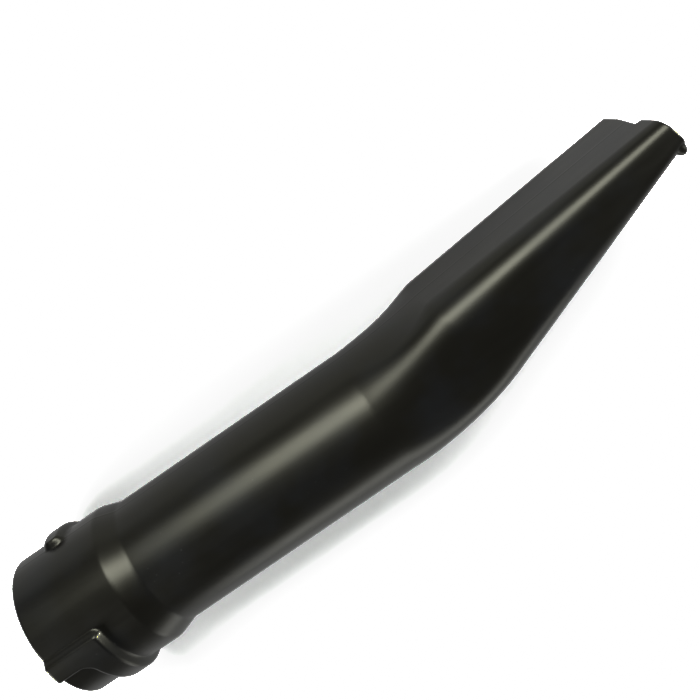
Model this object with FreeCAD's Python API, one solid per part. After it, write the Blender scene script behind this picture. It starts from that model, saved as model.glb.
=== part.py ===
# Leaf blower nozzle tube: one blow-moulded piece with a bayonet cuff, a round tube and a tapered flat nozzle.
# It lies on its side. X runs along the tube from the inlet rim, and Y is the side that the nozzle bends to.
# Z is up, and the origin is the centre of the inlet rim.
import FreeCAD, Part
import math
import os

from FreeCAD import Vector

# All lengths are in millimetres and all angles in degrees.
wall = 2.2

# Inlet cuff, which slips over the blower's outlet, and the cone that steps it down to the tube
cuff_bore = 75.2
cuff_length = 50.0
cone_length = 11.0
cone_round = 5.0

# Round tube
tube_diameter = 72.0
tube_length = 140.5

# Transition from the round tube to the flat nozzle. The tube's circle is split into two side arcs, two top arcs
# and four corner arcs by how far each turns. Shares say how far the halfway section has gone to the nozzle's.
transition_length = 61.5
transition_rise = 11.9
tube_side_turn = 13.0
tube_top_turn = 30.0
halfway_width_share = 0.26
halfway_height_share = 0.29
halfway_corner_share = 0.9
halfway_flat_share = 0.17
halfway_rise_share = 0.28

# How many equal edges a section has in each corner and in each half of its sides and its broad faces
corner_parts = 4
side_parts = 1
top_parts = 2

# Lengths that the transition is lofted in
transition_steps = 5

# Flat nozzle, which tapers to the outlet in a straight line. The crease where it starts and the outlet lie in
# planes with the same pitch.
bend_angle = 14.1
cut_pitch = 21.0
nozzle_length = 132.8
nozzle_width = 70.0
nozzle_height = 60.8
nozzle_corner = 18.0
outlet_width = 60.8
outlet_height = 19.2
outlet_side_flat = 3.2

# Notch in the outlet's upper edge, on the mould's parting line
notch_depth = 2.2
notch_gentle_width = 6.4
notch_steep_width = 2.8

# Two small catches under the outlet, one by each side
catch_radius = 2.3
catch_height = 2.2
catch_tip_radius = 1.3
catch_from_outlet = 3.6
catch_from_side = 4.2

# Bayonet pockets: an entry leg in from the rim, then a locking leg round the cuff to its end. The locking leg's
# near flank climbs away from the rim like a cam, and its far flank runs straight round the cuff.
# Flanks are placed at half of the height, and angles count from the top of the lying part.
pocket_count = 2
pocket_height = 3.7
pocket_flank_angle = 12.0
pocket_round = 2.4
pocket_corner = 4.0
entry_width = 15.0
cam_start = 14.5
cam_lead = 20.0
lock_far = 32.0
lock_end_angle = 96.0

# Worked out from the sizes above
cuff_radius = cuff_bore / 2 + wall
tube_radius = tube_diameter / 2
tube_start = cuff_length + cone_length
tube_end = tube_start + tube_length
crease_x = tube_end + transition_length
pocket_radius = cuff_radius + pocket_height
flank_radius = cuff_radius + pocket_height / 2

# How far cutting shapes run past what they cut, and the play in telling where an edge lies or bends
overrun = 2.0
reach = 3 * pocket_radius
margin_angle = 30.0
near = 0.02
straight_play = 0.000001

axis_x = Vector(1, 0, 0)
axis_z = Vector(0, 0, 1)
origin = Vector(0, 0, 0)


def turned_up(pitch):
    """Direction of a section's height, for a section that is pitched up by an angle."""
    angle = math.radians(pitch)
    return Vector(-math.sin(angle), math.cos(angle), 0)


def along(pitch):
    """Direction in which a pitched section faces."""
    angle = math.radians(pitch)
    return Vector(math.cos(angle), math.sin(angle), 0)


def between(tube_value, nozzle_value, share):
    """Value part of the way from the tube's to the nozzle's."""
    return tube_value + share * (nozzle_value - tube_value)


def flat_face(corners):
    """Plane face with straight edges through its corners."""
    return Part.Face(Part.makePolygon(corners + corners[:1]))


def full_outline(quarter):
    """Mirror a quarter outline of (width, height) points, from side middle to top middle, into a whole loop."""
    upper = quarter + [(-width, height) for width, height in quarter[-2::-1]]
    return upper + [(-width, -height) for width, height in upper[1:-1]]


def along_arc(start, heading, turn, chord, share):
    """Point a share of the way along an arc, or along a line where the turn is none."""
    length = chord * share
    if turn > 0:
        length = chord * math.sin(turn * share / 2) / math.sin(turn / 2)
    angle = heading + turn * share / 2
    return start[0] + length * math.cos(angle), start[1] + length * math.sin(angle)


def crowned_outline(half_width, half_height, corner, side_turn, top_turn):
    """Round-cornered rectangle whose faces are arcs, each turning by its angle on both sides of its middle.

    No turn gives flat faces, and equal radii give a circle. Even points are the ends of edges, and odd points
    are their middles.
    """
    side = math.radians(side_turn)
    top = math.radians(top_turn)
    rest = math.pi / 2 - side - top
    side_crown = math.tan(side / 2)
    top_crown = math.tan(top / 2)
    free_width = half_width - corner * (math.cos(side) - math.sin(top))
    free_height = half_height - corner * (math.cos(top) - math.sin(side))
    side_half = (free_height - top_crown * free_width) / (1 - side_crown * top_crown)
    top_half = free_width - side_crown * side_half
    arcs = (
        (side, side_half / math.cos(side / 2), side_parts),
        (rest, 2 * corner * math.sin(rest / 2), corner_parts),
        (top, top_half / math.cos(top / 2), top_parts),
    )
    quarter = [(half_width, 0)]
    heading = math.pi / 2
    for turn, chord, parts in arcs:
        start = quarter[-1]
        for step in range(1, 2 * parts + 1):
            quarter.append(along_arc(start, heading, turn, chord, step / (2 * parts)))
        heading += turn
    return full_outline(quarter)


def arc_or_line(start, middle, end):
    """Arc through three points, or a line where they lie straight."""
    if middle.distanceToLine(start, end - start) < straight_play:
        return Part.makeLine(start, end)
    return Part.Arc(start, middle, end).toShape()


def section(centre, pitch, outline):
    """Closed wire of lines and arcs through an outline, in the plane of a pitched section."""
    up = turned_up(pitch)
    points = [centre + axis_z * width + up * height for width, height in outline]
    points.append(points[0])
    return Part.Wire([arc_or_line(*points[first:first + 3]) for first in range(0, len(points) - 2, 2)])


def straight_body(first, last):
    """Solid between two sections of matching edges: flat faces between lines, and ruled faces between arcs."""
    faces = [Part.Face(first), Part.Face(last)]
    for edge, match in zip(first.Edges, last.Edges):
        if isinstance(edge.Curve, Part.Line):
            ends = [vertex.Point for vertex in edge.Vertexes]
            faces.append(flat_face(ends + [vertex.Point for vertex in match.Vertexes[::-1]]))
        else:
            faces.append(Part.makeRuledSurface(edge, match))
    return Part.Solid(Part.Shell(faces))


def rounded_corner(before, corner, after, radius):
    """Start, middle and end of the arc that rounds a corner of a profile."""
    back = (before - corner).normalize()
    ahead = (after - corner).normalize()
    half_turn = (math.pi - back.getAngle(ahead)) / 2
    tangent = radius * math.tan(half_turn)
    start = corner + back * tangent
    end = corner + ahead * tangent
    sagitta = radius * (1 - math.cos(half_turn))
    chord_middle = (start + end) / 2
    inward = chord_middle - corner
    if inward.Length > 0:
        inward.normalize()
    return start, chord_middle - inward * sagitta, end


def round_body():
    """Outside of the cuff, the cone and the tube."""
    inlet = Vector(0, cuff_radius, 0)
    cone_top = Vector(cuff_length, cuff_radius, 0)
    cone_foot = Vector(tube_start, tube_radius, 0)
    outlet = Vector(tube_end, tube_radius, 0)
    upper = rounded_corner(inlet, cone_top, cone_foot, cone_round)
    lower = rounded_corner(cone_top, cone_foot, outlet, cone_round)
    profile = Part.Wire([
        Part.makePolygon([outlet, axis_x * tube_end, origin, inlet, upper[0]]),
        arc_or_line(*upper),
        Part.makeLine(upper[2], lower[0]),
        arc_or_line(*lower),
        Part.makeLine(lower[2], outlet),
    ])
    return Part.Face(profile).revolve(origin, axis_x, 360)


def round_bore():
    """Bore of the cuff, the cone and the tube, which runs out past the rim."""
    corners = [
        Vector(-overrun, 0, 0),
        Vector(-overrun, cuff_radius - wall, 0),
        Vector(cuff_length, cuff_radius - wall, 0),
        Vector(tube_start, tube_radius - wall, 0),
        Vector(tube_end, tube_radius - wall, 0),
        Vector(tube_end, 0, 0),
    ]
    return flat_face(corners).revolve(origin, axis_x, 360)


def crease_section(inset):
    """Section at the crease where the flat nozzle starts."""
    outline = crowned_outline(nozzle_width / 2 - inset, nozzle_height / 2 - inset, nozzle_corner - inset, 0, 0)
    return section(Vector(crease_x, transition_rise, 0), cut_pitch, outline)


def eased(halfway_share, share):
    """How far a size has changed at a share of the transition's length, on a parabola through halfway."""
    return share * (4 * halfway_share - 1) + share * share * (2 - 4 * halfway_share)


def transition_section(inset, share):
    """Section of the transition at a share of its length."""
    flat = eased(halfway_flat_share, share)
    outline = crowned_outline(
        between(tube_radius, nozzle_width / 2, eased(halfway_width_share, share)) - inset,
        between(tube_radius, nozzle_height / 2, eased(halfway_height_share, share)) - inset,
        between(tube_radius, nozzle_corner, eased(halfway_corner_share, share)) - inset,
        between(tube_side_turn, 0, flat),
        between(tube_top_turn, 0, flat),
    )
    rise = transition_rise * eased(halfway_rise_share, share)
    return section(Vector(tube_end + transition_length * share, rise, 0), cut_pitch * share, outline)


def transition_body(inset, straight):
    """Loft from the round tube to the crease, either smooth or straight from section to section."""
    wires = [transition_section(inset, step / transition_steps) for step in range(transition_steps)]
    return Part.makeLoft(wires + [crease_section(inset)], True, straight)


def nozzle_centre(distance):
    """Point on the nozzle's middle line at a distance from the crease."""
    return Vector(crease_x, transition_rise, 0) + along(bend_angle) * distance


def nozzle_body(inset, past_outlet):
    """Straight loft from the crease to the outlet, which may run past it."""
    share = 1 + past_outlet / nozzle_length
    half_width = between(nozzle_width, outlet_width, share) / 2 - inset
    half_height = between(nozzle_height, outlet_height, share) / 2 - inset
    outlet_corner = (outlet_height - outlet_side_flat) / 2
    corner = between(nozzle_corner, outlet_corner, share) - inset
    outline = crowned_outline(half_width, half_height, corner, 0, 0)
    outlet = section(nozzle_centre(nozzle_length + past_outlet), cut_pitch, outline)
    return straight_body(crease_section(inset), outlet)


def catches():
    """Tapered catches on the underside of the outlet, rooted in its wall."""
    share = 1 - catch_from_outlet / nozzle_length
    half_width = between(nozzle_width, outlet_width, share) / 2
    half_height = between(nozzle_height, outlet_height, share) / 2
    root = wall / 2
    length = catch_height + root
    down = turned_up(cut_pitch) * -1
    seat = nozzle_centre(nozzle_length - catch_from_outlet) + down * (half_height - root)
    made = []
    for side in (-1, 1):
        foot = seat + axis_z * (side * (half_width - catch_from_side))
        made.append(Part.makeCone(catch_radius, catch_tip_radius, length, foot, down))
    return made


def notch():
    """Wedge that cuts the notch through the upper wall at the outlet."""
    ahead = along(cut_pitch)
    mouth = nozzle_centre(nozzle_length)
    widening = 1 + overrun / notch_depth
    corners = [
        mouth - ahead * notch_depth,
        mouth + ahead * overrun + axis_z * (notch_steep_width * widening),
        mouth + ahead * overrun - axis_z * (notch_gentle_width * widening),
    ]
    return flat_face(corners).extrude(turned_up(cut_pitch) * outlet_height)


def outward(angle):
    """Radial direction on the cuff, at an angle from straight up towards the -Y side."""
    return Vector(0, -math.sin(math.radians(angle)), math.cos(math.radians(angle)))


def onward(angle):
    """Direction round the cuff in which the angle grows."""
    return outward(angle + 90)


def from_axis(point):
    """Distance of a point from the cuff's axis."""
    return math.hypot(point.y, point.z)


def full_band(inset):
    """Thick band round part of the cuff, from behind the rim to the pocket's straight far flank."""
    lean = math.radians(pocket_flank_angle)
    inner = cuff_radius - wall - overrun
    top = pocket_radius - inset
    start = outward(-margin_angle)
    corners = [axis_x * -overrun + start * top, axis_x * -overrun + start * inner]
    for radius in (inner, top):
        far = lock_far + (flank_radius - radius) * math.tan(lean) - inset / math.cos(lean)
        corners.append(axis_x * far + start * radius)
    return flat_face(corners).revolve(origin, axis_x, lock_end_angle + 2 * margin_angle)


def cam_block(inset):
    """Block on the rim's side of the locking leg, whose sloping flank climbs like a screw thread."""
    lean = math.radians(pocket_flank_angle)
    start = outward(-margin_angle)
    start_x = -cam_lead * margin_angle / 360
    low = cuff_radius - wall - 2 * overrun
    high = pocket_radius + overrun
    corners = [axis_x * (start_x - reach) + start * high, axis_x * (start_x - reach) + start * low]
    for radius in (low, high):
        flank = cam_start - (flank_radius - radius) * math.tan(lean) + inset / math.cos(lean)
        corners.append(axis_x * (start_x + flank) + start * radius)
    climb = cam_lead * (lock_end_angle + 2 * margin_angle) / 360
    helix = Part.makeHelix(cam_lead, climb, flank_radius)
    turn = FreeCAD.Rotation(start, onward(-margin_angle), axis_x, "ZXY")
    helix.Placement = FreeCAD.Placement(axis_x * start_x, turn)
    sweep = Part.Wire(helix.Edges).makePipeShell([Part.makePolygon(corners + corners[:1])], True, True)
    return sweep.common(beyond_flank(0, 1, inset, entry_width / 2))


def beyond_flank(angle, side, inset, offset):
    """Block outside a sloping end of a pocket. Its face stands at an offset round the cuff from an angle."""
    lean = math.radians(pocket_flank_angle)
    radial = outward(angle)
    out = onward(angle) * side
    normal = out * math.cos(lean) + radial * math.sin(lean)
    slope = radial * math.cos(lean) - out * math.sin(lean)
    centre = radial * flank_radius + out * offset - normal * inset
    corners = []
    for across, up in ((-1, -1), (1, -1), (1, 1), (-1, 1)):
        corners.append(centre + axis_x * (reach * across) + slope * (reach * up))
    return flat_face(corners).extrude(normal * reach)


def pocket(inset):
    """Both legs of one bayonet pocket, as the outside (inset 0) or as the groove inside (inset of one wall)."""
    entry_start = beyond_flank(0, -1, inset, entry_width / 2)
    lock_end = beyond_flank(lock_end_angle, 1, inset, 0)
    return full_band(inset).cut(entry_start).cut(lock_end).cut(cam_block(inset))


def rounded_pocket():
    """Outside of one pocket with its upright corners and its top edges rounded, cut off level with the rim."""
    body = pocket(0)
    upright = []
    for edge in body.Edges:
        ends = [vertex.Point for vertex in edge.Vertexes]
        heights = [from_axis(end) for end in ends]
        if max(heights) - min(heights) > pocket_height and min(end.x for end in ends) > 0:
            upright.append(edge)
    body = body.makeFillet(pocket_corner, upright)
    top = []
    for edge in body.Edges:
        middle = edge.valueAt((edge.FirstParameter + edge.LastParameter) / 2)
        places = [vertex.Point for vertex in edge.Vertexes] + [middle]
        level = all(abs(from_axis(place) - pocket_radius) < near for place in places)
        if level and max(place.x for place in places) > near - overrun:
            top.append(edge)
    behind_rim = Part.makeBox(reach, 2 * reach, 2 * reach, Vector(-reach, -reach, -reach))
    return body.makeFillet(pocket_round, top).cut(behind_rim)


def round_the_cuff(first):
    """Copies of the first pocket, evenly spaced round the cuff."""
    made = []
    for number in range(pocket_count):
        copy = first.copy()
        copy.rotate(origin, axis_x, number * 360 / pocket_count)
        made.append(copy)
    return made


def nozzle_tube():
    """The whole moulding: the outside with its bore and its notch taken out."""
    raised = round_the_cuff(rounded_pocket())
    grooves = round_the_cuff(pocket(wall))
    outside = round_body().multiFuse([transition_body(0, False), nozzle_body(0, 0)] + catches() + raised)
    bore = round_bore().multiFuse([transition_body(wall, True), nozzle_body(wall, overrun)] + grooves)
    return outside.cut(bore).cut(notch())


os.makedirs("parts", exist_ok=True)
nozzle_tube().exportStep("parts/nozzle_tube.step")
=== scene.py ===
"""Leaf blower nozzle tube: a blow-moulded black plastic wall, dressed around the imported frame."""

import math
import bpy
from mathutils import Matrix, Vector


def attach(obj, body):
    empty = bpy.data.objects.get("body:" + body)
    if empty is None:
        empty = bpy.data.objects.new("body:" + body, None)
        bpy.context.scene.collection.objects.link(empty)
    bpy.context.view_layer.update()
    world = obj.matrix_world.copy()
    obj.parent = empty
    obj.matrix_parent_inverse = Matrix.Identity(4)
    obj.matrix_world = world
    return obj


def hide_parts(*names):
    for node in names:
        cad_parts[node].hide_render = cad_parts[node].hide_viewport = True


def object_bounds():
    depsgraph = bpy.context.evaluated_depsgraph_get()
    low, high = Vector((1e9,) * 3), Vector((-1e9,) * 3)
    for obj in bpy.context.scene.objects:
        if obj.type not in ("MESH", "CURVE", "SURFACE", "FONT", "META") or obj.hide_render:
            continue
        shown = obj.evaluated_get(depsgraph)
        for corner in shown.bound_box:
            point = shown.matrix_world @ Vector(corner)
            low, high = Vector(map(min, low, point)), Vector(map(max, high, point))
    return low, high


bl_info = {
    "name": "Leaf Blower Nozzle Tube",
    "version": (1, 0, 0),
    "blender": (4, 5, 0),
    "location": "3D View > Sidebar > Nozzle Tube",
    "description": "Builds a blow-moulded blower nozzle tube, its black plastic and a studio stage",
    "category": "Object",
}

import bpy
from bpy.props import FloatProperty, FloatVectorProperty, PointerProperty
from mathutils import Vector

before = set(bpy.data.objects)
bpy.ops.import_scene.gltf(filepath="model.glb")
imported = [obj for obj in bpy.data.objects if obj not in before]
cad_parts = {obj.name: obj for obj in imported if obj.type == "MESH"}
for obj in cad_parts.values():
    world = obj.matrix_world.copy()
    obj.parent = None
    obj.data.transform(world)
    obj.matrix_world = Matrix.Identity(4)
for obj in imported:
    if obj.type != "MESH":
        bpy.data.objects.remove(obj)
cad_low, cad_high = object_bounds()

MM = 0.001
TURN = 2 * math.pi
QUARTER = math.pi / 2
NODE = "nozzle_tube"

# Turns round the cuff between which one pocket is worked out, from the middle of its entry leg
POCKET_FIRST = math.radians(-50.0)
POCKET_LAST = math.radians(130.0)

# Extra pattern columns in millimetres, off the parting line and off the notch's deepest point
RIDGE_COLUMNS = (0.2, 0.4, 0.6, 0.85, 1.1)
NOTCH_COLUMNS = (-0.5, -0.1, 0.2, 0.5, 0.8, 1.2)

# Places of the lights from the middle of the tube, and their sizes, in metres
KEY_PLACE = (0.15, 0.92, 0.86)
KEY_SIZE = (1.2, 0.5)
END_PLACES = ((-1.9, -0.5, 0.8), (1.9, -0.15, 0.8))
END_SIZE = (0.6, 0.6)
WALL_PLACE = (0.1, -1.7, 0.22)
WALL_SIZE = (1.6, 0.6)

# Tones of the scene and the tones they are shown as
WHITE_LEVELS = ((0.26, 0.26), (0.31, 0.93), (0.36, 1.0))


def length(name, millimetres, description):
    """Length property, with its default in millimetres."""
    metres = millimetres * MM
    return FloatProperty(name=name, description=description, default=metres, unit="LENGTH", precision=5)


def angle(name, degrees, description):
    """Angle property, with its default in degrees."""
    radians = math.radians(degrees)
    return FloatProperty(name=name, description=description, default=radians, subtype="ANGLE")


def share(name, value, description):
    """Plain share or strength property."""
    return FloatProperty(name=name, description=description, default=value, precision=4)


def colour(name, value, description):
    """Linear colour property."""
    return FloatVectorProperty(name=name, description=description, default=value, subtype="COLOR", size=3)


class WallSizes(bpy.types.PropertyGroup):
    """Sizes of the moulded wall."""

    wall: length("Wall", 2.2, "Thickness of the plastic")
    edge_round: length("Edge round", 0.7, "Rounding of the trimmed edges at the rim and the mouth")
    cuff_radius: length("Cuff radius", 39.8, "Outside radius of the inlet cuff")
    cuff_length: length("Cuff length", 50.0, "From the rim to the cone")
    cone_length: length("Cone length", 11.0, "Cone between the cuff and the tube")
    cone_ease: length("Cone ease", 1.3, "Reach of the soft corners of the cone")
    tube_radius: length("Tube radius", 36.0, "Outside radius of the round tube")
    tube_length: length("Tube length", 140.5, "From the cone to the round end of the transition")
    transition_length: length("Transition length", 61.5, "From the round tube to the crease")
    transition_rise: length("Transition rise", 11.9, "How far the crease lies to the bend's side")
    tube_side_turn: angle("Tube side turn", 13.0, "Half turn of the tube that flattens to a side face")
    tube_top_turn: angle("Tube top turn", 30.0, "Half turn of the tube that flattens to a broad face")
    width_share: share("Width share", 0.26, "Share of the change in width that is done halfway")
    height_share: share("Height share", 0.29, "Share of the change in height that is done halfway")
    corner_share: share("Corner share", 0.9, "Share of the change in corner radius that is done halfway")
    flat_share: share("Flat share", 0.17, "Share of the flattening that is done halfway")
    rise_share: share("Rise share", 0.28, "Share of the rise that is done halfway")
    crease_ease: length("Crease ease", 1.4, "Reach of the soft corners at both ends of the transition")
    bend_angle: angle("Bend angle", 14.1, "Bend of the flat nozzle")
    cut_pitch: angle("Cut pitch", 21.0, "Pitch of the crease and of the mouth")
    nozzle_length: length("Nozzle length", 132.8, "From the crease to the mouth")
    nozzle_width: length("Nozzle width", 35.0, "Half width at the crease")
    nozzle_height: length("Nozzle height", 30.4, "Half height at the crease")
    nozzle_corner: length("Nozzle corner", 18.0, "Corner radius at the crease")
    mouth_width: length("Mouth width", 30.4, "Half width at the mouth")
    mouth_height: length("Mouth height", 9.6, "Half height at the mouth")
    mouth_corner: length("Mouth corner", 8.0, "Corner radius at the mouth")
    mouth_slant: length("Mouth slant", 2.7, "How much further back the mouth is cut on its low side")
    notch_depth: length("Notch depth", 3.0, "Depth of the trimming notch in the mouth's edge")
    notch_place: length("Notch place", 11.0, "From the mouth's middle to the notch's deepest point")
    notch_gentle: length("Notch gentle width", 21.0, "Width of the notch's long slope")
    notch_steep: length("Notch steep width", 0.9, "Width of the notch's short side")
    notch_run: length("Notch run", 11.0, "How far back the wall is drawn in by the notch")
    catch_radius: length("Catch radius", 2.7, "Radius of the small catches under the mouth")
    catch_height: length("Catch height", 2.2, "How far the catches stand below the wall")
    catch_back: length("Catch from mouth", 3.4, "From the mouth back to the catches")
    catch_side: length("Catch from side", 4.2, "From the sides in to the catches")
    ridge_height: length("Ridge height", 0.06, "Height of the parting line's ridge")
    ridge_width: length("Ridge width", 1.1, "Half width of the parting line's ridge")
    pocket_height: length("Pocket height", 3.7, "How far the bayonet pockets stand out of the cuff")
    pocket_flank: length("Pocket flank", 3.6, "Width of the pockets' rounded flanks")
    pocket_foot: length("Pocket foot", 0.8, "Reach of the soft foot round the pockets")
    pocket_corner: length("Pocket corner", 4.0, "Corner radius of the pockets seen from above")
    pocket_end: length("Pocket end", 5.5, "Corner radius at the pockets' closed end")
    entry_width: length("Entry width", 7.5, "Half width of the entry leg")
    cam_start: length("Cam start", 14.5, "From the rim to the cam flank, at the entry leg's middle")
    cam_lead: length("Cam lead", 20.0, "Climb of the cam flank in a whole turn")
    lock_far: length("Lock far", 32.0, "From the rim to the pockets' far flank")
    lock_end: angle("Lock end", 96.0, "Turn from the entry leg's middle to the pocket's end")


class PlasticLook(bpy.types.PropertyGroup):
    """Finish of the black plastic."""

    black: colour("Black", (0.0026, 0.0024, 0.0019), "Plain black of the plastic")
    bloom: colour("Bloom", (0.0034, 0.0038, 0.0050), "Cool bloom on weathered patches")
    dust: colour("Dust", (0.05, 0.05, 0.047), "Fine dust and scuffs")
    roughness: share("Roughness", 0.34, "Gloss of the moulded skin")
    gloss: share("Gloss", 0.5, "Specular level of the plastic")
    sheen: colour("Sheen", (1.0, 1.0, 0.80), "Warm tint of the gloss")
    index: share("Index", 1.42, "Refractive index of the plastic's skin")


class StudioLook(bpy.types.PropertyGroup):
    """Camera, floor and lights."""

    camera_place: FloatVectorProperty(
        name="Camera place", description="Where the camera stands", size=3,
        subtype="TRANSLATION", unit="LENGTH", default=(0.22287, 0.18190, 0.37952))
    camera_turn: FloatVectorProperty(
        name="Camera turn", description="How the camera is turned", size=3, subtype="EULER",
        default=(math.radians(-18.6306), math.radians(-10.1483), math.radians(-33.2298)))
    lens: FloatProperty(name="Lens", description="Focal length in millimetres", default=41.005)
    floor: colour("Floor", (0.34, 0.34, 0.34), "Pale floor")
    floor_span: length("Floor span", 1700.0, "Width of the floor")
    key_power: share("Key power", 22.5, "Strength of the main soft light, in watts")
    fill_power: share("Fill power", 40.0, "Strength of the lights at both ends, in watts")
    wall_power: share("Wall power", 6.5, "Strength of the low pale wall, in watts")
    room: colour("Room", (0.07, 0.07, 0.07), "Dim room that the plastic mirrors")
    backdrop: colour("Backdrop", (0.9, 0.9, 0.9), "Pale backdrop behind the floor")


class Value:
    """Number that nodes work out, so that rules of shape and finish read as plain expressions."""

    def __init__(self, nodes, socket):
        self.nodes = nodes
        self.socket = socket

    def __add__(self, other):
        return self.nodes.maths("ADD", self, other)

    __radd__ = __add__

    def __sub__(self, other):
        return self.nodes.maths("SUBTRACT", self, other)

    def __rsub__(self, other):
        return self.nodes.maths("SUBTRACT", other, self)

    def __mul__(self, other):
        return self.nodes.maths("MULTIPLY", self, other)

    __rmul__ = __mul__

    def __truediv__(self, other):
        return self.nodes.maths("DIVIDE", self, other)

    def __rtruediv__(self, other):
        return self.nodes.maths("DIVIDE", other, self)

    def __neg__(self):
        return self * -1.0

    def __abs__(self):
        return self.nodes.maths("ABSOLUTE", self)

    def __pow__(self, other):
        return self.nodes.maths("POWER", self, other)

    def low(self, other):
        """The smaller of this and another value."""
        return self.nodes.maths("MINIMUM", self, other)

    def high(self, other):
        """The larger of this and another value."""
        return self.nodes.maths("MAXIMUM", self, other)

    def within(self, least, most):
        """This value, kept between two others."""
        return self.high(least).low(most)

    def root(self):
        """Square root."""
        return self.nodes.maths("SQRT", self)

    def sine(self):
        """Sine of this angle."""
        return self.nodes.maths("SINE", self)

    def cosine(self):
        """Cosine of this angle."""
        return self.nodes.maths("COSINE", self)

    def tangent(self):
        """Tangent of this angle."""
        return self.nodes.maths("TANGENT", self)

    def sign(self):
        """Minus one, zero or one."""
        return self.nodes.maths("SIGN", self)

    def over(self, edge):
        """One where this value is larger than an edge, and zero elsewhere."""
        return self.nodes.maths("GREATER_THAN", self, edge)


class Nodes:
    """Node tree with one way to add any node to it."""

    def __init__(self, tree):
        self.tree = tree
        tree.nodes.clear()

    def add(self, kind, settings, sockets):
        """Add a node. Its settings come first, then the value or link of each socket by name or number."""
        node = self.tree.nodes.new(kind)
        for name, setting in settings.items():
            setattr(node, name, setting)
        for place, value in sockets.items():
            if isinstance(value, Value):
                self.tree.links.new(value.socket, node.inputs[place])
            else:
                node.inputs[place].default_value = value
        return node

    def value(self, kind, settings, sockets, output=0):
        """Add a node and take one of its outputs."""
        return Value(self, self.add(kind, settings, sockets).outputs[output])

    def maths(self, operation, *terms):
        """Add one Math node."""
        return self.value("ShaderNodeMath", {"operation": operation}, dict(enumerate(terms)))

    def mix(self, factor, first, second):
        """Mix two colours."""
        settings = {"data_type": "RGBA", "blend_type": "MIX"}
        return self.value("ShaderNodeMix", settings, {0: factor, 6: first, 7: second}, 2)


def eased(past, ease):
    """Zero before a corner and the distance past it afterwards, with a soft corner between them."""
    return (past + ease).within(0.0, ease * 2.0) ** 2.0 / (ease * 4.0) + (past - ease).high(0.0)


def rounded_both(first, second, radius):
    """Depth inside two flanks at once, with a rounded corner between them."""
    gap_first = (radius - first).high(0.0)
    gap_second = (radius - second).high(0.0)
    return first.low(second).high(radius) - (gap_first ** 2.0 + gap_second ** 2.0).root()


def rounded_either(first, second, radius):
    """Depth inside either of two flanks, with a rounded corner between them."""
    gap_first = (radius + first).high(0.0)
    gap_second = (radius + second).high(0.0)
    return first.high(second).low(-radius) + (gap_first ** 2.0 + gap_second ** 2.0).root()


def soft_step(share_in):
    """Rise from 0 to 1 with a soft foot and a rounder shoulder."""
    return 1.0 - (1.0 - share_in.within(0.0, 1.0) ** 2.0) ** 3.0


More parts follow.
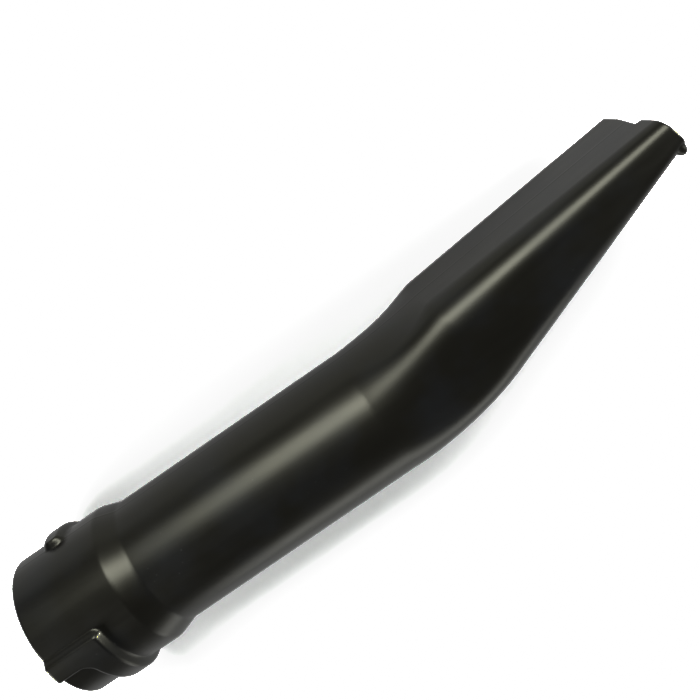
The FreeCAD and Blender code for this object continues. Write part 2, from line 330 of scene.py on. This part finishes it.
class WallRule:
    """Rule that rolls a flat pattern of stations, turns and insets into the moulded wall."""

    def __init__(self, nodes, size, station, around, inset):
        self.nodes = nodes
        self.size = size
        self.inset = inset
        self.turn = around * TURN
        self.across = self.turn.cosine().sign()
        self.upward = self.turn.sine().sign()
        folded = nodes.maths("PINGPONG", around * 4.0, 1.0) * QUARTER
        corner_turn = QUARTER - size.tube_side_turn - size.tube_top_turn
        self.side_share = (folded / size.tube_side_turn).low(1.0)
        self.corner_share = ((folded - size.tube_side_turn) / corner_turn).within(0.0, 1.0)
        self.top_share = ((QUARTER - folded) / size.tube_top_turn).low(1.0)
        self.skin = (1.0 - inset / size.wall).within(0.0, 1.0)
        self.tube_start = size.cuff_length + size.cone_length
        self.tube_end = self.tube_start + size.tube_length
        self.crease_x = self.tube_end + size.transition_length
        self.station = station - self.notch(station)
        past_tube = eased(self.station - self.tube_end, size.crease_ease)
        past_crease = eased(self.station - self.crease_x, size.crease_ease)
        self.on_tube = self.station - past_tube
        self.along = (past_tube - past_crease) / size.transition_length
        self.gone = past_crease / size.nozzle_length

    def changed(self, tube_value, halfway_share, nozzle_value, mouth_value):
        """Size that eases from the tube's to the nozzle's, then runs straight to the mouth's."""
        done = self.along * (halfway_share * 4.0 - 1.0) + self.along ** 2.0 * (2.0 - halfway_share * 4.0)
        return tube_value + (nozzle_value - tube_value) * done + (mouth_value - nozzle_value) * self.gone

    def crown(self, half, turn, share_in):
        """How far along and how far down an arc runs, at a share of it. It starts flat."""
        bend = turn.high(0.001) / 2.0
        chord = half / bend.cosine() * (bend * share_in).sine() / bend.sine()
        return chord * (bend * share_in).cosine(), chord * (bend * share_in).sine()

    def section(self):
        """Width and height on the section. Its faces are crowned near the tube and flat on the nozzle."""
        size = self.size
        side_turn = self.changed(size.tube_side_turn, size.flat_share, 0.0, 0.0)
        top_turn = self.changed(size.tube_top_turn, size.flat_share, 0.0, 0.0)
        tube = size.tube_radius
        wide = self.changed(tube, size.width_share, size.nozzle_width, size.mouth_width) - self.inset
        tall = self.changed(tube, size.height_share, size.nozzle_height, size.mouth_height) - self.inset
        corner = self.changed(tube, size.corner_share, size.nozzle_corner, size.mouth_corner) - self.inset
        side_crown = (side_turn / 2.0).tangent()
        top_crown = (top_turn / 2.0).tangent()
        free_width = wide - corner * (side_turn.cosine() - top_turn.sine())
        free_height = tall - corner * (top_turn.cosine() - side_turn.sine())
        side_half = (free_height - top_crown * free_width) / (1.0 - side_crown * top_crown)
        top_half = free_width - side_crown * side_half
        side_run, side_dip = self.crown(side_half, side_turn, self.side_share)
        top_run, top_dip = self.crown(top_half, top_turn, self.top_share)
        bend = side_turn + (QUARTER - top_turn - side_turn) * self.corner_share
        width = wide - side_dip + corner * (bend.cosine() - side_turn.cosine()) + top_run - top_half
        height = side_run + corner * (bend.sine() - side_turn.sine()) + top_crown * top_half - top_dip
        return width, height

    def notch(self, station):
        """How far the mouth's edge is drawn back by its slant and by the trimming notch."""
        size = self.size
        flat = (size.mouth_width - size.mouth_corner) * self.top_share * self.across
        rounded = size.mouth_corner * (self.corner_share * QUARTER).cosine() * self.across
        past = flat - size.notch_place
        slope = (past / size.notch_steep).high(past / size.notch_gentle * -1.0)
        depth = (1.0 - slope).within(0.0, 1.0) * size.notch_depth * self.upward.over(0.5)
        slant = size.mouth_slant * (0.5 - (flat + rounded) / (size.mouth_width * 2.0))
        run = (station - self.crease_x - size.nozzle_length) / size.notch_run + 1.0
        return (depth + slant) * run.within(0.0, 1.0)

    def pocket_depth(self):
        """Depth inside the outline of the bayonet pockets, which lie twice round the cuff."""
        size = self.size
        flank_radius = size.cuff_radius + size.pocket_height / 2.0
        turned = self.nodes.maths("WRAP", self.turn * -1.0, POCKET_LAST, POCKET_FIRST)
        round_cuff = turned * flank_radius
        cam = size.cam_start + size.cam_lead * turned / TURN
        entry_first = round_cuff + size.entry_width
        entry_last = size.entry_width - round_cuff
        far = size.lock_far - self.station
        end = size.lock_end * flank_radius - round_cuff
        locking = rounded_both(self.station - cam, end, size.pocket_end)
        legs = rounded_either(entry_last, locking, size.pocket_corner)
        ends = rounded_both(far, end, size.pocket_end)
        outer = rounded_both(entry_first, ends, size.pocket_corner)
        return rounded_both(outer, legs, size.pocket_corner)

    def round_radius(self):
        """Radius of the cuff, cone and tube, with the bayonet pockets raised on the cuff."""
        size = self.size
        slope = (size.cuff_radius - size.tube_radius) / size.cone_length
        cone = eased(self.station - size.cuff_length, size.cone_ease)
        cone = cone - eased(self.station - self.tube_start, size.cone_ease)
        climb = size.pocket_flank + size.pocket_foot
        raised = (self.pocket_depth() - self.inset + size.pocket_foot) / climb
        return size.cuff_radius - self.inset - slope * cone + size.pocket_height * soft_step(raised)

    def catch_drop(self, sideways, height):
        """How far the wall is pushed down at the catches under the mouth."""
        size = self.size
        level = size.nozzle_height + (size.mouth_height - size.nozzle_height) * self.gone
        half_width = size.nozzle_width + (size.mouth_width - size.nozzle_width) * self.gone
        back = size.nozzle_length * (1.0 - self.gone)
        beside = abs(sideways) - half_width + size.catch_side
        off = ((back - size.catch_back) ** 2.0 + beside ** 2.0).root()
        bump = (1.0 - (off / size.catch_radius) ** 2.0).high(0.0).root()
        return bump * (level + size.catch_height - height) * self.skin * (self.upward * -1.0).over(0.5)

    def point(self):
        """Place of a pattern point on the finished wall."""
        size = self.size
        width, height = self.section()
        sideways = width * self.across
        off_line = sideways / size.ridge_width
        ridge = size.ridge_height * self.skin * (1.0 - off_line ** 2.0).high(0.0) ** 2.0
        raised = (height + ridge) * self.upward - self.catch_drop(sideways, height)
        stand = self.round_radius() - size.tube_radius + self.inset
        pitch = size.cut_pitch * self.along
        nozzle = size.nozzle_length * self.gone
        rise = self.changed(0.0, size.rise_share, size.transition_rise, size.transition_rise)
        centre_x = self.on_tube + size.transition_length * self.along + size.bend_angle.cosine() * nozzle
        centre_y = rise + size.bend_angle.sine() * nozzle
        return (
            centre_x - pitch.sine() * raised,
            centre_y + pitch.cosine() * raised + stand * self.turn.sine(),
            sideways + stand * self.turn.cosine(),
        )


class Sizes:
    """Group inputs of a tree as values, by the names of their properties."""


def wall_tree(settings, finish):
    """Geometry tree that turns the flat pattern into the wall, and its inputs' values by identifier."""
    tree = bpy.data.node_groups.new("moulded_wall_rule", "GeometryNodeTree")
    tree.interface.new_socket(name="Pattern", in_out="INPUT", socket_type="NodeSocketGeometry")
    tree.interface.new_socket(name="Wall", in_out="OUTPUT", socket_type="NodeSocketGeometry")
    nodes = Nodes(tree)
    values = {}
    titles = {}
    for key in WallSizes.__annotations__:
        titles[key] = settings.bl_rna.properties[key].name
        kind = "NodeSocketFloat"
        socket = tree.interface.new_socket(name=titles[key], in_out="INPUT", socket_type=kind)
        values[socket.identifier] = getattr(settings, key)
    source = nodes.add("NodeGroupInput", {}, {})
    size = Sizes()
    for key, title in titles.items():
        setattr(size, key, Value(nodes, source.outputs[title]))
    pattern = Value(nodes, source.outputs["Pattern"])
    flat = nodes.add("ShaderNodeSeparateXYZ", {}, {0: nodes.value("GeometryNodeInputPosition", {}, {})})
    station, around, inset = (Value(nodes, output) for output in flat.outputs)
    rule = WallRule(nodes, size, station, around, inset)
    place = nodes.value("ShaderNodeCombineXYZ", {}, dict(enumerate(rule.point())))
    rolled = nodes.value("GeometryNodeSetPosition", {}, {"Geometry": pattern, "Position": place})
    smooth = nodes.value("GeometryNodeSetShadeSmooth", {}, {"Geometry": rolled, "Shade Smooth": True})
    real = nodes.value("GeometryNodeRealizeInstances", {}, {"Geometry": smooth})
    dressed = nodes.value("GeometryNodeSetMaterial", {}, {"Geometry": real, "Material": finish})
    nodes.add("NodeGroupOutput", {}, {0: dressed})
    return tree, values


def spread(start, end, step):
    """Even steps from a start up to, but without, an end."""
    count = max(1, round((end - start) / step))
    return [start + (end - start) * number / count for number in range(count)]


def pattern_columns(size):
    """Places round the wall, in turns, closer together at the pockets, the parting line and the notch."""
    base = 288
    places = {number / base for number in range(base)}
    flank_radius = size.cuff_radius + size.pocket_height / 2
    flank = (size.pocket_flank + size.pocket_foot) / flank_radius
    foot = size.pocket_foot / flank_radius
    entry = size.entry_width / flank_radius
    starts = (-entry - foot, entry - flank + foot, size.lock_end - flank + foot)
    for half in (0, 0.5):
        for start in starts:
            for turned in spread(start, start + flank, math.radians(0.45)):
                places.add((half - turned / TURN) % 1.0)
        for off in RIDGE_COLUMNS:
            for side in (-1, 1):
                places.add((half + 0.25 + side * off * MM / (TURN * size.tube_radius)) % 1.0)
    flat = size.mouth_width - size.mouth_corner
    for off in NOTCH_COLUMNS:
        places.add(0.25 - size.tube_top_turn * (size.notch_place + off * MM) / flat / TURN)
    kept = []
    least = 0.0002
    for place in sorted(places):
        if not kept or place - kept[-1] > least or (place * 4) % 1.0 == 0:
            kept.append(place)
    return kept


def lip(at, toward, size):
    """Stations and insets over a trimmed edge with two small rounds, from the outside to the bore."""
    steps = 4
    radius = size.edge_round
    rows = []
    for number in range(steps + 1):
        bend = QUARTER * number / steps
        rows.append((at + toward * radius * (1 - math.sin(bend)), radius * (1 - math.cos(bend))))
    return rows + [(station, size.wall - inset) for station, inset in reversed(rows)]


def pattern_rows(size):
    """Stations and insets over the outside, round the mouth, back through the bore and round the rim."""
    tube_start = size.cuff_length + size.cone_length
    tube_end = tube_start + size.tube_length
    crease = tube_end + size.transition_length
    mouth = crease + size.nozzle_length
    ease = size.cone_ease + 0.3 * MM
    fold = size.crease_ease + 0.3 * MM
    cam = size.cam_start

    def stretch(fine):
        """Stations from the rim to the mouth. Each mark gives the step after it, in millimetres."""
        marks = [
            (size.edge_round, 0.8), (cam - 3 * MM, 0.5), (cam + 4 * MM, 0.8),
            (size.lock_far - 4 * MM, 0.4), (size.lock_far + 1 * MM, 3.0),
            (size.cuff_length - ease, 0.4), (size.cuff_length + ease, 2.5),
            (tube_start - ease, 0.4), (tube_start + ease, 16.0),
            (tube_end - fold, 0.4), (tube_end + fold, 2.4),
            (crease - fold, 0.4), (crease + fold, 10.0),
            (mouth - 9 * MM, 0.45), (mouth - size.edge_round, 1.0),
        ]
        stations = []
        for (start, step), (end, _) in zip(marks, marks[1:]):
            stations += spread(start, end, step * MM * fine)
        return stations[1:]

    outside = [(station, 0.0) for station in stretch(1.0)]
    inside = [(station, size.wall) for station in reversed(stretch(1.8))]
    at_mouth = lip(mouth, -1, size)
    at_rim = [(station, size.wall - inset) for station, inset in lip(0.0, 1, size)]
    return outside + at_mouth + inside + at_rim


def cam_slide(station, around, size):
    """How far a pattern row slides to run along the cam flank instead of across it."""
    turned = (-around * TURN - POCKET_FIRST) % math.pi + POCKET_FIRST
    climb = max(turned, 0.0)
    if turned > size.lock_end:
        climb = size.lock_end * (POCKET_LAST - turned) / (POCKET_LAST - size.lock_end)
    near = (station - 2 * MM) / (size.cam_start - 5 * MM)
    far = (size.lock_far - 4 * MM - station) / (size.lock_far - size.cam_start - 8 * MM)
    return size.cam_lead * climb / TURN * min(1.0, max(0.0, min(near, far)))


def flat_pattern(size):
    """Sheet of points whose coordinates are station, turns and inset, closed both along and around."""
    columns = pattern_columns(size)
    rows = pattern_rows(size)
    points = []
    for station, inset in rows:
        for around in columns:
            points.append((station + cam_slide(station, around, size), around, inset))
    wide = len(columns)
    faces = []
    for row in range(len(rows)):
        this_row = row * wide
        next_row = (row + 1) % len(rows) * wide
        for column in range(wide):
            beside = (column + 1) % wide
            faces.append((this_row + column, next_row + column, next_row + beside, this_row + beside))
    mesh = bpy.data.meshes.new("flat_pattern")
    mesh.from_pydata(points, [], faces)
    mesh.update()
    return mesh


def black_plastic(look):
    """Satin black moulded plastic with a fine grain, uneven gloss, a cool bloom and a little dust."""
    material = bpy.data.materials.new("black_plastic")
    material.use_nodes = True
    nodes = Nodes(material.node_tree)
    place = nodes.value("ShaderNodeTexCoord", {}, {}, 3)

    def cloud(scale, detail, stretch=(1.0, 1.0, 1.0)):
        there = nodes.value("ShaderNodeMapping", {}, {"Vector": place, "Scale": stretch})
        return nodes.value("ShaderNodeTexNoise", {}, {"Vector": there, "Scale": scale, "Detail": detail})

    patches = cloud(28.0, 3.0)
    grain = cloud(2600.0, 2.0)
    streaks = cloud(160.0, 4.0, (0.12, 1.0, 1.0))
    specks = nodes.value("ShaderNodeTexVoronoi", {}, {"Vector": place, "Scale": 210.0})
    bloom = ((patches - 0.45) * 4.0).within(0.0, 1.0)
    dusty = (0.09 - specks).within(0.0, 0.05) * 12.0 * (patches - 0.52).within(0.0, 0.1) * 6.0
    tinted = nodes.mix(bloom, (*look.black, 1.0), (*look.bloom, 1.0))
    base = nodes.mix(dusty.within(0.0, 1.0), tinted, (*look.dust, 1.0))
    rough = look.roughness + (streaks - 0.5) * 0.10 + (patches - 0.5) * 0.10 + (grain - 0.5) * 0.06
    relief = grain * 0.6 + streaks * 0.8
    normal = nodes.value("ShaderNodeBump", {}, {"Strength": 0.25, "Distance": 0.00006, "Height": relief})
    shader = nodes.value(
        "ShaderNodeBsdfPrincipled", {},
        {"Base Color": base, "Roughness": rough, "Normal": normal, "Specular IOR Level": look.gloss,
         "Specular Tint": (*look.sheen, 1.0), "IOR": look.index})
    nodes.add("ShaderNodeOutputMaterial", {}, {"Surface": shader})
    return material


def link(made):
    """Put an object in the scene."""
    bpy.context.scene.collection.objects.link(made)
    return made


class MouldTube(bpy.types.Operator):
    """Mould the nozzle tube's wall from its flat pattern and dress it in black plastic"""

    bl_idname = "nozzle_tube.mould_tube"
    bl_label = "Mould Tube"

    def execute(self, context):
        scene = context.scene
        finish = black_plastic(scene.nozzle_tube_plastic)
        tree, values = wall_tree(scene.nozzle_tube_wall, finish)
        pattern = link(bpy.data.objects.new("pattern", flat_pattern(scene.nozzle_tube_wall)))
        rule = pattern.modifiers.new("moulded_wall_rule", "NODES")
        rule.node_group = tree
        for identifier, value in values.items():
            rule[identifier] = value
        shaped = pattern.evaluated_get(context.evaluated_depsgraph_get())
        mesh = bpy.data.meshes.new_from_object(shaped)
        mesh.name = "moulded_tube"
        pattern.modifiers.remove(rule)
        bpy.data.objects.remove(pattern)
        tube = link(bpy.data.objects.new("moulded_tube", mesh))
        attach(tube, "root")
        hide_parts(NODE)
        return {"FINISHED"}


def pale_floor(look):
    """Plain matt floor paper."""
    material = bpy.data.materials.new("pale_floor")
    material.use_nodes = True
    nodes = Nodes(material.node_tree)
    shader = nodes.value(
        "ShaderNodeBsdfPrincipled", {},
        {"Base Color": (*look.floor, 1.0), "Roughness": 0.9, "Specular IOR Level": 0.1})
    nodes.add("ShaderNodeOutputMaterial", {}, {"Surface": shader})
    return material


def studio_room(look):
    """Dim room, with a pale backdrop where it is looked at directly."""
    world = bpy.data.worlds.new("studio_room")
    world.use_nodes = True
    nodes = Nodes(world.node_tree)
    seen = nodes.value("ShaderNodeLightPath", {}, {})
    room = nodes.value("ShaderNodeBackground", {}, {"Color": (*look.room, 1.0)})
    backdrop = nodes.value("ShaderNodeBackground", {}, {"Color": (*look.backdrop, 1.0)})
    mixed = nodes.value("ShaderNodeMixShader", {}, {0: seen, 1: room, 2: backdrop})
    nodes.add("ShaderNodeOutputWorld", {}, {"Surface": mixed})
    return world


def soft_light(name, place, aim, size, power):
    """Soft rectangular light that faces a point."""
    lamp = bpy.data.lights.new(name, "AREA")
    lamp.shape = "RECTANGLE"
    lamp.size, lamp.size_y = size
    lamp.energy = power
    made = link(bpy.data.objects.new(name, lamp))
    made.location = place
    made.rotation_euler = (Vector(aim) - Vector(place)).to_track_quat("-Z", "Y").to_euler()
    return made


def white_levels(view):
    """Levels that show the lit floor as plain white and leave all darker tones as they are."""
    view.use_curve_mapping = True
    levels = view.curve_mapping
    curve = levels.curves[3]
    for shown in WHITE_LEVELS:
        curve.points.new(*shown).handle_type = "VECTOR"
    levels.update()


class SetStage(bpy.types.Operator):
    """Lay the pale floor and set the lights and the camera"""

    bl_idname = "nozzle_tube.set_stage"
    bl_label = "Set Stage"

    def execute(self, context):
        scene = context.scene
        look = scene.nozzle_tube_studio
        scene.view_settings.view_transform = "Standard"
        white_levels(scene.view_settings)
        middle = (cad_low + cad_high) / 2
        half = look.floor_span / 2
        turns = ((-1, -1), (1, -1), (1, 1), (-1, 1))
        corners = [(middle.x + half * east, middle.y + half * north, cad_low.z) for east, north in turns]
        mesh = bpy.data.meshes.new("floor")
        mesh.from_pydata(corners, [], [(0, 1, 2, 3)])
        mesh.materials.append(pale_floor(look))
        link(bpy.data.objects.new("floor", mesh))
        soft_light("key_light", middle + Vector(KEY_PLACE), middle, KEY_SIZE, look.key_power)
        for end in END_PLACES:
            soft_light("end_light", middle + Vector(end), middle, END_SIZE, look.fill_power)
        soft_light("pale_wall", middle + Vector(WALL_PLACE), middle, WALL_SIZE, look.wall_power)
        scene.world = studio_room(look)
        lens = bpy.data.cameras.new("view")
        lens.lens = look.lens
        lens.sensor_width = 36.0
        camera = link(bpy.data.objects.new("view", lens))
        camera.location = look.camera_place
        camera.rotation_euler = look.camera_turn
        scene.camera = camera
        return {"FINISHED"}


class NozzleTubePanel(bpy.types.Panel):
    """Steps that build the nozzle tube and its stage"""

    bl_idname = "VIEW3D_PT_nozzle_tube"
    bl_label = "Nozzle Tube"
    bl_space_type = "VIEW_3D"
    bl_region_type = "UI"
    bl_category = "Nozzle Tube"

    def draw(self, context):
        scene = context.scene
        for step in STEPS:
            self.layout.operator(step.bl_idname)
        for group in (scene.nozzle_tube_wall, scene.nozzle_tube_plastic, scene.nozzle_tube_studio):
            box = self.layout.box()
            for key in type(group).__annotations__:
                box.prop(group, key)


STEPS = (MouldTube, SetStage)
CLASSES = (WallSizes, PlasticLook, StudioLook, *STEPS, NozzleTubePanel)


def register():
    for made in CLASSES:
        bpy.utils.register_class(made)
    bpy.types.Scene.nozzle_tube_wall = PointerProperty(type=WallSizes)
    bpy.types.Scene.nozzle_tube_plastic = PointerProperty(type=PlasticLook)
    bpy.types.Scene.nozzle_tube_studio = PointerProperty(type=StudioLook)


def unregister():
    del bpy.types.Scene.nozzle_tube_studio
    del bpy.types.Scene.nozzle_tube_plastic
    del bpy.types.Scene.nozzle_tube_wall
    for made in reversed(CLASSES):
        bpy.utils.unregister_class(made)


def main():
    register()
    bpy.ops.nozzle_tube.mould_tube()
    bpy.ops.nozzle_tube.set_stage()


if __name__ == "__main__":
    main()
